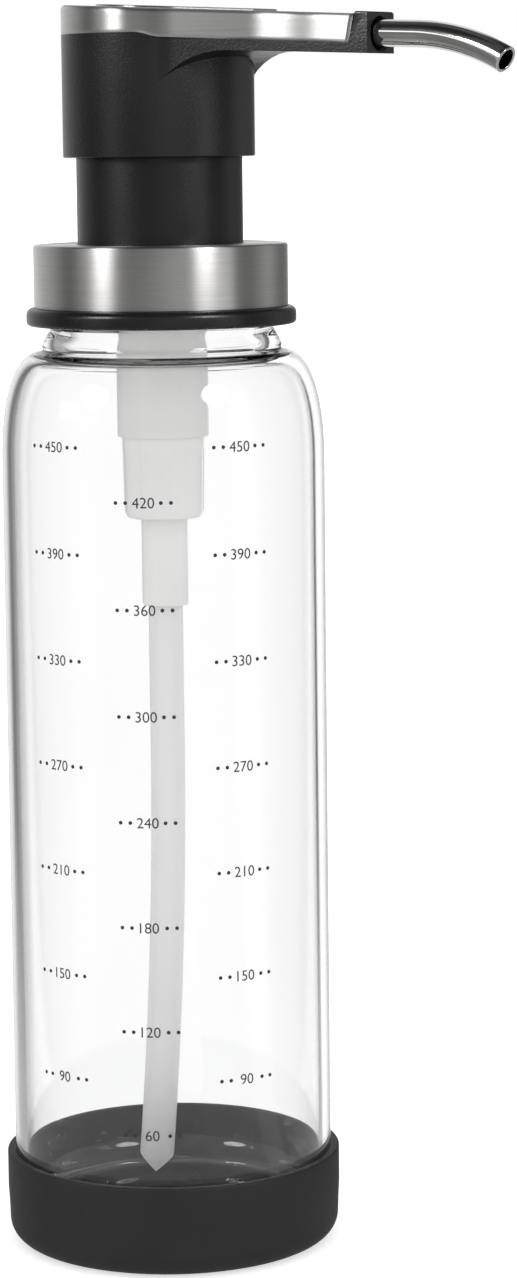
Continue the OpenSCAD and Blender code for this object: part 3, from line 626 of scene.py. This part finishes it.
def make_bottle():
    foot_r, in_r, lip_out, lip_in = NECK_R + FILLET, GLASS_R - GLASS_WALL, 0.8, 0.6
    wall_top, flare_z, neck_step, inner_top, bowl_r = 150, 182.3, 0.2, 194.5, 6
    # the outer face above the wall without the neck's flare, which the inner face follows
    bend = [(GLASS_R, z) for z in np.arange(wall_top, SHOULDER_Z, 1.0)]
    bend += shoulder(foot_r, GLASS_R - foot_r, NECK_Z - SHOULDER_Z, 60)[:-1]
    bend += [(foot_r - FILLET * math.sin(TAU / 4 * i / 8), NECK_Z + FILLET * (1 - math.cos(TAU / 4 * i / 8)))
             for i in range(9)]
    bend += [(NECK_R, z) for z in np.arange(185.2, NECK_TOP, neck_step)]
    outer = [(0, GLASS_FOOT)] + foot(GLASS_R, GLASS_FOOT, 5)
    outer += [(GLASS_R, z) for z in range(30, wall_top, 10)] + [(r, z) for r, z in bend if z < flare_z]
    outer += NECK_FOOT + [(NECK_R, z) for z in np.arange(187.4, NECK_TOP, neck_step)]
    lip = arc(NECK_R - lip_out, MOUTH_Z - lip_out, lip_out, lip_out, 5)
    lip += arc(MOUTH_R + lip_in, MOUTH_Z - lip_in, -lip_in, lip_in, 5)[::-1]
    inner = [(r, z) for r, z in drawn_in(bend, GLASS_WALL) if z < inner_top][::-1]
    inner += [(in_r, z) for z in range(140, 20, -10)]
    bowl = foot(in_r, FLOOR_Z, bowl_r)[::-1] + [(0, FLOOR_Z)]

    def winding(a, z):
        return thread(a, z) if THREAD_LOW < z < THREAD_HIGH else 0.0

    rows = [circle_row(r, z, bend=winding if abs(r - NECK_R) < 1e-6 else None)
            for r, z in outer + lip + inner + bowl]
    return new_object("glass_bottle", *grid(rows), sharp=60)


def make_boot():
    inside, foot_out, foot_in, lip_out, lip_in = GLASS_R + 0.05, 4.6, 4.5, 0.45, 0.3
    profile = [(0, 0)] + foot(BOOT_LOW_R, 0, foot_out)
    profile += [(BOOT_LOW_R + 0.12, 8), (BOOT_R, 11.2), (BOOT_R, 14)]
    profile += arc(BOOT_R - lip_out, BOOT_H - lip_out, lip_out, lip_out, 5)
    profile += arc(inside + lip_in, BOOT_H - lip_in, -lip_in, lip_in, 4)[::-1]
    profile += [(inside, 12)] + foot(inside, BOOT_FLOOR, foot_in)[::-1] + [(0, BOOT_FLOOR)]
    return lathe("soft_boot", profile, closed=False)


def make_closure():
    # each corner is (radius, height, rounding)
    return lathe("closure", rounded([
        (CLOSURE_BORE, RIM_LOW, 0.3), (RIM_R, RIM_LOW, 0.9), (RIM_R, RIM_TOP, 1.4), (CLOSURE_R, RIM_TOP, 0),
        (CLOSURE_R, CLOSURE_TOP, 0.2), (HOLE_R, CLOSURE_TOP, 0.1), (HOLE_R, PLATE_Z, 0.2),
        (CLOSURE_BORE, PLATE_Z, 0.4)]))


def make_collar():
    inner_top = COLLAR_TOP - COLLAR_SHEET
    return lathe("collar", rounded([
        (COLLAR_R - COLLAR_SHEET, RIM_TOP, 0.1), (COLLAR_R, RIM_TOP, 0.15), (COLLAR_R, COLLAR_TOP, 0.5),
        (HOLE_R, COLLAR_TOP, 0.15), (HOLE_R, inner_top, 0.1),
        (COLLAR_R - COLLAR_SHEET, inner_top, 0.15)]))


def make_stem():
    return lathe("stem", rounded([
        (STEM_IN_R, STACK_Z, 0.2), (FLANGE_R, STACK_Z, 0.2), (FLANGE_R, PLATE_Z, 0.2), (STEM_R, PLATE_Z, 0),
        (STEM_R, STEM_TOP, 0.5), (STEM_IN_R, STEM_TOP, 0.4)]))


def make_sleeve():
    bore = CYL_R + 0.05
    return lathe("pump_sleeve", rounded([
        (bore, SLEEVE_LOW, 0.1), (SLEEVE_R, SLEEVE_LOW, 0.3), (SLEEVE_R, SLEEVE_Z, 0.3),
        (FLANGE_R, SLEEVE_Z, 0.2), (FLANGE_R, STACK_Z, 0.2), (bore, STACK_Z, 0.1)]), n=192)


def make_cylinder():
    taper, reach = 0.3, SLEEVE_LOW - CYL_LOW
    low_r = CYL_R - taper
    rib_low, rib_high, rib_turn = CYL_LOW + 0.5, SLEEVE_LOW - 2, TAU / 6
    rib_half, rib_side, rib_rise = 0.75, 0.4, 0.2

    def ribs(a, z):
        """Six soft ribs on the part below the sleeve, which end a little above its rounded foot."""
        if not rib_low < z < rib_high:
            return 0.0
        fade = min(1, (z - rib_low) / 1.2, (rib_high - z) / 0.3)
        off = abs((a - TURN + rib_turn / 2) % rib_turn - rib_turn / 2) * CYL_R
        return rib_rise * (fade * max(0.0, min(1.0, (rib_half - off) / rib_side)) - 1)

    outer = [(SOCKET_R, CYL_LOW)] + foot(low_r, CYL_LOW, 1.4)[3:]
    outer += [(low_r + taper * (z - CYL_LOW) / reach, z) for z in np.arange(151, 163.01, 0.5)]
    flange = STEM_IN_R - 0.3
    outer += [(CYL_R - 0.04, 163.2), (CYL_R, 163.4), (CYL_R, STACK_Z), (flange, STACK_Z), (flange, PLATE_Z)]
    bore, floor_z, chamfer = TUBE_R + 0.05, CYL_LOW + 2, 0.3
    inner = [(CYL_IN_R, PLATE_Z), (CYL_IN_R, floor_z), (TUBE_IN_R, floor_z), (TUBE_IN_R, TUBE_TOP),
             (bore, TUBE_TOP), (bore, SOCKET_LOW), (SOCKET_R - chamfer, SOCKET_LOW),
             (SOCKET_R, SOCKET_LOW + chamfer)]
    rows = [circle_row(r, z, bend=ribs if r > SOCKET_R + 0.1 and z < 163 and i < len(outer) else None)
            for i, (r, z) in enumerate(outer + inner)]
    return new_object("pump_barrel", *grid(rows, wrap_rows=True))


def swept(name, at, rings, n, shape=None):
    """A hollow piece along a path. at(s) gives the place, two cross axes and the path's direction, and rings
    are (s, radius). shape(s, point) moves a point along the path."""
    rows = []
    for s, r in rings:
        place, u, v, t = at(s)
        row = []
        for k in range(n):
            a = TAU * k / n
            p = place + (u * math.cos(a) + v * math.sin(a)) * r
            if shape is not None:
                p = p + t * shape(s, p)
            row.append(tuple(p))
        rows.append(row)
    return new_object(name, *grid(rows, wrap_rows=True))


def make_dip_tube():
    bow_z, angle = TIP_Z + BOW_LEN, 2 * math.atan(BOW / BOW_LEN)
    bend_r = BOW_LEN / math.sin(angle)
    side = Vector((math.cos(math.radians(BOW_TURN)), math.sin(math.radians(BOW_TURN)), 0))
    cross = Vector((-side.y, side.x, 0))
    straight = TUBE_TOP - bow_z
    whole = straight + bend_r * angle

    def at(s):
        if s < straight:
            return Vector((0, 0, TUBE_TOP - s)), side, cross, Vector((0, 0, -1))
        t = (s - straight) / bend_r
        place = side * bend_r * (1 - math.cos(t)) + Vector((0, 0, bow_z - bend_r * math.sin(t)))
        along = side * math.sin(t) - Vector((0, 0, math.cos(t)))
        return place, side * math.cos(t) + Vector((0, 0, math.sin(t))), cross, along

    notch = Vector((math.cos(TURN), math.sin(TURN), 0))
    end, notch_depth, notch_reach, edge = at(whole)[0], 3.0, 12, 0.12

    def cut(s, p):
        """The notched tip: the wall gets shorter the further it is from the notch's ridge."""
        near = max(0.0, 1 - (whole - s) / notch_reach)
        return -near * notch_depth / TUBE_R * abs((p - end).dot(notch))

    places = [0, 0.15] + list(np.linspace(2, whole - notch_reach, 24))
    places += list(np.linspace(whole - 11, whole - edge, 10))
    rings = [(s, TUBE_R - (0.15 if s == 0 else 0)) for s in places] + [(whole, TUBE_R - edge)]
    rings += [(whole, TUBE_IN_R + edge)] + [(s, TUBE_IN_R) for s in places[::-1]]
    return swept("dip_straw", at, rings, 64, cut)


def make_spring():
    """The return spring as one round wire, closed up at both ends."""
    low, high, r, wire, turns = (SPRING[k] for k in ("low", "high", "r", "wire", "turns"))
    round_steps, sides, end_share = 40, 12, 0.9
    count = turns * round_steps
    rows = [[(r, 0.0, low)]]
    pitch = (high - low) / turns
    for i in range(count + 1):
        a, z = TAU * i / round_steps, low + (high - low) * i / count
        out = Vector((math.cos(a), math.sin(a), 0))
        along = Vector((-math.sin(a) * TAU * r, math.cos(a) * TAU * r, pitch)).normalized()
        up = along.cross(-out)
        size = wire * (end_share if i in (0, count) else 1)
        middle = Vector((r * math.cos(a), r * math.sin(a), z))
        rows.append([tuple(middle + (out * math.cos(TAU * k / sides) + up * math.sin(TAU * k / sides)) * size)
                     for k in range(sides)])
    rows.append([(r * math.cos(TAU * turns), r * math.sin(TAU * turns), high)])
    return new_object("coil_spring", *grid(rows))


# ---- the head ----
# The arm's straight side starts here
STRAIGHT_X = 16.0
# How far the cover's side stands out from a straight one, in (x, distance) pairs, rounded off over its length
WAIST_KNOTS = [(0, 0), (8.5, 0), (13.2, 0.97), (31.5, -0.65), (38.0, -0.42), (43.0, -0.6), (53.8, 0)]
WAIST_X = np.linspace(0, 54, 217)
WAIST_REACH = 6
WAIST_Y = np.convolve(np.pad(np.interp(WAIST_X, *zip(*WAIST_KNOTS)), WAIST_REACH, mode="edge"),
                      np.ones(2 * WAIST_REACH + 1) / (2 * WAIST_REACH + 1), "valid")


def outline(inset, disc_r=SKIRT_R, root=ARM_ROOT, tip=ARM_END, end=ARM_LEN, fillet=ARM_FILLET):
    """Half of the head's plan, from its back to the middle of the arm's end, drawn in by inset."""
    disc_count, bend_count, side_count = 48, 10, 40
    taper = math.atan((root - tip) / end)
    side = root * math.cos(taper)
    along = math.sqrt((disc_r + fillet) ** 2 - (side + fillet) ** 2)
    cx = along * math.cos(taper) + (side + fillet) * math.sin(taper)
    cy = (side + fillet) * math.cos(taper) - along * math.sin(taper)
    meet = math.atan2(cy, cx)
    r, f = disc_r - inset, fillet + inset
    points = [(r * math.cos(a), r * math.sin(a)) for a in np.linspace(math.pi, meet, disc_count)]
    last = 3 * math.pi / 2 - taper
    points += [(cx + f * math.cos(a), cy + f * math.sin(a))
               for a in np.linspace(meet + math.pi, last, bend_count)[1:]]
    x0, y0 = points[-1]
    y1 = tip - inset / math.cos(taper)
    points += [(x0 + (end - x0) * k / side_count, y0 + (y1 - y0) * k / side_count)
               for k in range(1, side_count + 1)]
    return points


def top_at(x):
    return TOP_Z - TOP_SLOPE * x


def band_low(x):
    """The lower edge of the cover: on the shelf round the head, then up to a narrower band on the arm."""
    step_x, step_len = 7.7, 4.8
    u = min(max((x - step_x) / step_len, 0), 1)
    u = u * u * (3 - 2 * u)
    return SHELF_Z * (1 - u) + (top_at(x) - BAND_H) * u


def both_sides(half):
    """Half an outline mirrored to the other side, as one open line from the arm's end round the back."""
    return [(x, y) for x, y in half[::-1]] + [(x, -y) for x, y in half[1:]]


def waist(x):
    """How far the cover's side stands out: a little at the arm's root, and less than none further out."""
    return float(np.interp(x, WAIST_X, WAIST_Y))


def make_cover():
    end, lean, edge, pad, sheet = ARM_LEN - BLOCK_T - 0.1, 1.0, 1.0, 0.4, 0.6
    side_steps, round_steps, pad_steps = 6, 6, 4
    pad_shape = dict(disc_r=12.2, root=11.0, tip=3.9, end=26.6)
    slope = (ARM_ROOT - ARM_END) / ARM_LEN
    rows = []

    def row(inset, height):
        """One row round the cover. The side is drawn out to the leaning end, and waisted."""
        made = []
        for x, y in both_sides(outline(inset)):
            if x > STRAIGHT_X:
                stop = end - lean * max(0.0, min(1.0, (top_at(end) - height(end)) / BAND_H))
                moved = STRAIGHT_X + (x - STRAIGHT_X) * (stop - STRAIGHT_X) / (ARM_LEN - STRAIGHT_X)
                y += math.copysign((x - moved) * slope, y)
                x = moved
            y += waist(x) * (1 if y > 0 else -1)
            made.append((x, y, height(x)))
        rows.append(made)

    for k in range(side_steps + 1):
        row(0, lambda x: band_low(x) + (top_at(x) - edge - band_low(x)) * k / side_steps)
    for k in range(1, round_steps + 1):
        t = TAU / 4 * k / round_steps
        row(edge * (1 - math.cos(t)), lambda x: top_at(x) - edge * (1 - math.sin(t)))
    rim = len(rows) - 1
    rows.append([(x, y, top_at(x)) for x, y in both_sides(outline(0, **pad_shape))])
    for k in range(1, pad_steps + 1):
        t = TAU / 4 * k / pad_steps
        rows.append([(x, y, top_at(x) + pad * math.sin(t)) for x, y in
                     both_sides(outline(pad * 0.8 * (1 - math.cos(t)), **pad_shape))])
    verts, faces = grid(rows, wrap_cols=False)
    n = len(rows[0])
    # the flat top in front of the pad, the pad's own end and its top
    for k in range(rim, len(rows) - 1):
        faces.append((k * n, (k + 1) * n, (k + 1) * n + n - 1, k * n + n - 1))
    last = (len(rows) - 1) * n
    faces.append(tuple(range(last, last + n)))
    obj = new_object("steel_cover", verts, faces, sharp=35)
    thick = obj.modifiers.new("sheet", "SOLIDIFY")
    thick.thickness, thick.offset, thick.use_even_offset = sheet * MM, -1, True
    return obj


def make_spout():
    tilt = math.atan(ARM_SLOPE)
    along = Vector((math.cos(tilt), 0, -math.sin(tilt)))
    up = Vector((math.sin(tilt), 0, math.cos(tilt)))
    side = Vector((0, 1, 0))
    start = Vector((0, 0, SPOUT_Z))
    whole = SPOUT_X1 + BEND_R * math.radians(BEND)

    def at(s):
        if s < SPOUT_X1:
            return start + along * s, side, up, along
        t = (s - SPOUT_X1) / BEND_R
        place = start + along * (SPOUT_X1 + BEND_R * math.sin(t)) - up * BEND_R * (1 - math.cos(t))
        return place, side, up * math.cos(t) + along * math.sin(t), along * math.cos(t) - up * math.sin(t)

    chamfer, round_out, round_in, steps_round = 0.1, 0.2, 0.15, 4
    places = [SPOUT_X0 + chamfer] + list(np.linspace(8, SPOUT_X1 - 1, 12))
    places += list(np.linspace(SPOUT_X1, whole - 0.3, 28))
    rings = [(SPOUT_X0, SPOUT_R - chamfer)] + [(s, SPOUT_R) for s in places]
    for k in range(1, steps_round + 1):
        t = TAU / 4 * k / steps_round
        rings.append((whole - round_out * (1 - math.sin(t)), SPOUT_R - round_out * (1 - math.cos(t))))
    for k in range(steps_round + 1):
        t = TAU / 4 * k / steps_round
        rings.append((whole - round_in * (1 - math.cos(t)), SPOUT_IN_R + round_in * (1 - math.sin(t))))
    rings += [(s, SPOUT_IN_R) for s in places[::-1]] + [(SPOUT_X0, SPOUT_IN_R)]
    return swept("spout", at, rings, 72)


def make_head():
    """The head's body with a recess round the spout, and its arm's end and skirt's foot rounded."""
    body = bpy.data.objects.new("uncut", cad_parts["head_body"].data.copy())
    bpy.context.scene.collection.objects.link(body)
    tilt, n, recess_r, recess_depth, mouth = math.atan(ARM_SLOPE), 48, 3.1, 1.6, 0.5
    rows = []
    for x, r in ((ARM_LEN - recess_depth, recess_r), (ARM_LEN - 0.3, recess_r),
                 (ARM_LEN + 0.2, recess_r + mouth)):
        rows.append([(x + r * math.sin(TAU * k / n) * math.sin(tilt), r * math.cos(TAU * k / n),
                      SPOUT_Z - x * math.tan(tilt) + r * math.sin(TAU * k / n)) for k in range(n)])
    verts, faces = grid(rows)
    faces += [tuple(range(n)), tuple(range(2 * n, 3 * n))]
    cutter = new_object("recess", verts, faces)
    cut = body.modifiers.new("recess", "BOOLEAN")
    cut.operation, cut.solver, cut.object = "DIFFERENCE", "EXACT", cutter
    bpy.context.view_layer.update()
    mesh = bpy.data.meshes.new_from_object(body.evaluated_get(bpy.context.evaluated_depsgraph_get()))
    bpy.data.objects.remove(cutter)
    bm = bmesh.new()
    bm.from_mesh(mesh)
    bmesh.ops.remove_doubles(bm, verts=bm.verts, dist=1e-7)

    def round_off(wanted, width, sharp=0.6):
        """Bevels the sharp edges whose ends wanted() picks."""
        edges = [e for e in bm.edges if e.is_manifold and e.calc_face_angle(0) > sharp
                 and all(wanted(v.co / MM) for v in e.verts)]
        bmesh.ops.bevel(bm, geom=edges, offset=width * MM, offset_type="OFFSET", segments=3, profile=0.5,
                        affect="EDGES", clamp_overlap=False)

    block_x, block_z, clear_of_recess, block_round, skirt_round = ARM_LEN - 3.8, 240.3, 3.7, 0.45, 0.3
    round_off(lambda p: p.x > block_x and p.z > block_z
              and math.hypot(p.y, p.z - SPOUT_Z + p.x * ARM_SLOPE) > clear_of_recess, block_round)
    round_off(lambda p: abs(p.z - SKIRT_Z) < 0.02 and math.hypot(p.x, p.y) > SKIRT_R - 0.1, skirt_round)
    # the cut leaves its points and faces in another order each run, so they are put in order here
    bm.verts.index_update()
    verts = [tuple(v.co / MM) for v in bm.verts]
    order = sorted(range(len(verts)), key=verts.__getitem__)
    place = {i: k for k, i in enumerate(order)}
    verts = [verts[i] for i in order]
    faces = sorted(tuple(place[v.index] for v in f.verts) for f in bm.faces)
    bm.free()
    bpy.data.objects.remove(body)
    return new_object("press_head", verts, faces, sharp=24)


def make_marks():
    """The millilitre numbers and their dots, as thin print on the glass."""
    verts, faces = [], []
    print_r, thick, font_size, digit_height, dot_r, dot_sides = GLASS_R + 0.01, 0.03, 3.0, 2.1, 0.38, 20
    # each column's turn in degrees from the photo's front and its values, and the dots' turns from a number
    left, middle, right = (-3.3, range(90, 451, 60)), (30.7, range(60, 421, 60)), (65.0, range(90, 451, 60))
    dot_turns = (-9.58, -6.13, 6.13, 9.58)

    def wrap(points, polygons, turn, z):
        first = len(verts)
        for x, y, depth in points:
            a = turn + x / GLASS_R
            r = print_r + depth
            verts.append((r * math.cos(a), r * math.sin(a), z + y))
        faces.extend(tuple(first + i for i in p) for p in polygons)

    def text(words):
        curve = bpy.data.curves.new("digits", "FONT")
        curve.body, curve.align_x, curve.size = words, "CENTER", font_size
        obj = bpy.data.objects.new("digits", curve)
        bpy.context.scene.collection.objects.link(obj)
        bpy.context.view_layer.update()
        mesh = obj.to_mesh()
        points = [tuple(v.co) for v in mesh.vertices]
        polygons = [tuple(p.vertices) for p in mesh.polygons]
        obj.to_mesh_clear()
        bpy.data.objects.remove(obj)
        bpy.data.curves.remove(curve)
        return points, polygons

    def solid(points, polygons):
        """A flat shape as a thin closed one."""
        n = len(points)
        edges = {}
        for p in polygons:
            for a, b in zip(p, p[1:] + p[:1]):
                edges[(a, b)] = edges.get((a, b), 0) + 1
        walls = [(a, b, b + n, a + n) for a, b in edges if (b, a) not in edges]
        return ([(x, y, 0.0) for x, y, _ in points] + [(x, y, thick) for x, y, _ in points],
                [p[::-1] for p in polygons] + [tuple(i + n for i in p) for p in polygons] + walls)

    dot = [(dot_r * math.cos(TAU * k / dot_sides), dot_r * math.sin(TAU * k / dot_sides), 0.0)
           for k in range(dot_sides)]
    dot_shape = solid(dot, [tuple(range(dot_sides))])
    for turn, values in (left, middle, right):
        a = math.radians(turn - 90)
        for value in values:
            z = FIRST_MARK_Z + (value - 60) * MM_PER_ML
            points, polygons = text(str(value))
            low, high = min(p[1] for p in points), max(p[1] for p in points)
            mid = (min(p[0] for p in points) + max(p[0] for p in points)) / 2
            k = digit_height / (high - low)
            scaled = [((x - mid) * k, (y - (low + high) / 2) * k, 0.0) for x, y, _ in points]
            wrap(*solid(scaled, polygons), a, z)
            for off in dot_turns:
                wrap(*dot_shape, a + math.radians(off), z)
    return new_object("graduations", verts, faces)


add(make_bottle(), "bottle", ["bottle"], GLASS)
add(make_boot(), "bottle", ["base_boot"], BOOT)
add(make_marks(), "bottle", [], INK)
add(make_closure(), "closure", ["closure_ring"], CLOSURE)
add(make_collar(), "closure", ["collar_shell"], COLLAR)
add(make_stem(), "pump", ["stem_guide"], STEM)
add(make_sleeve(), "pump", ["chamber_sleeve"], WHITE)
add(make_cylinder(), "pump", ["pump_cylinder"], NATURAL)
add(make_dip_tube(), "pump", ["dip_tube"], TUBE)
spring = add(make_spring(), "pump", ["return_spring"], SPRING_STEEL)
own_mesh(spring)
add(make_head(), "head", ["head_body"], HEAD)
add(make_cover(), "head", ["head_cover"], COVER)
add(make_spout(), "head", ["spout_tube"], SPOUT)

# The CAD's own meshes that stay, with their materials
KEPT = {"neck_gasket": FOAM, "guide_bush": WHITE, "rod_wiper": SEAL, "inlet_ball": BALL_STEEL,
        "ball_cage": WHITE, "piston": WHITE, "piston_clip": WHITE, "piston_rod": WHITE,
        "outlet_ball": BALL_STEEL, "duct_elbow": WHITE, "spout_oring": SEAL}
for name, mat in KEPT.items():
    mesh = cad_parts[name].data
    mesh.materials.clear()
    mesh.materials.append(mat)
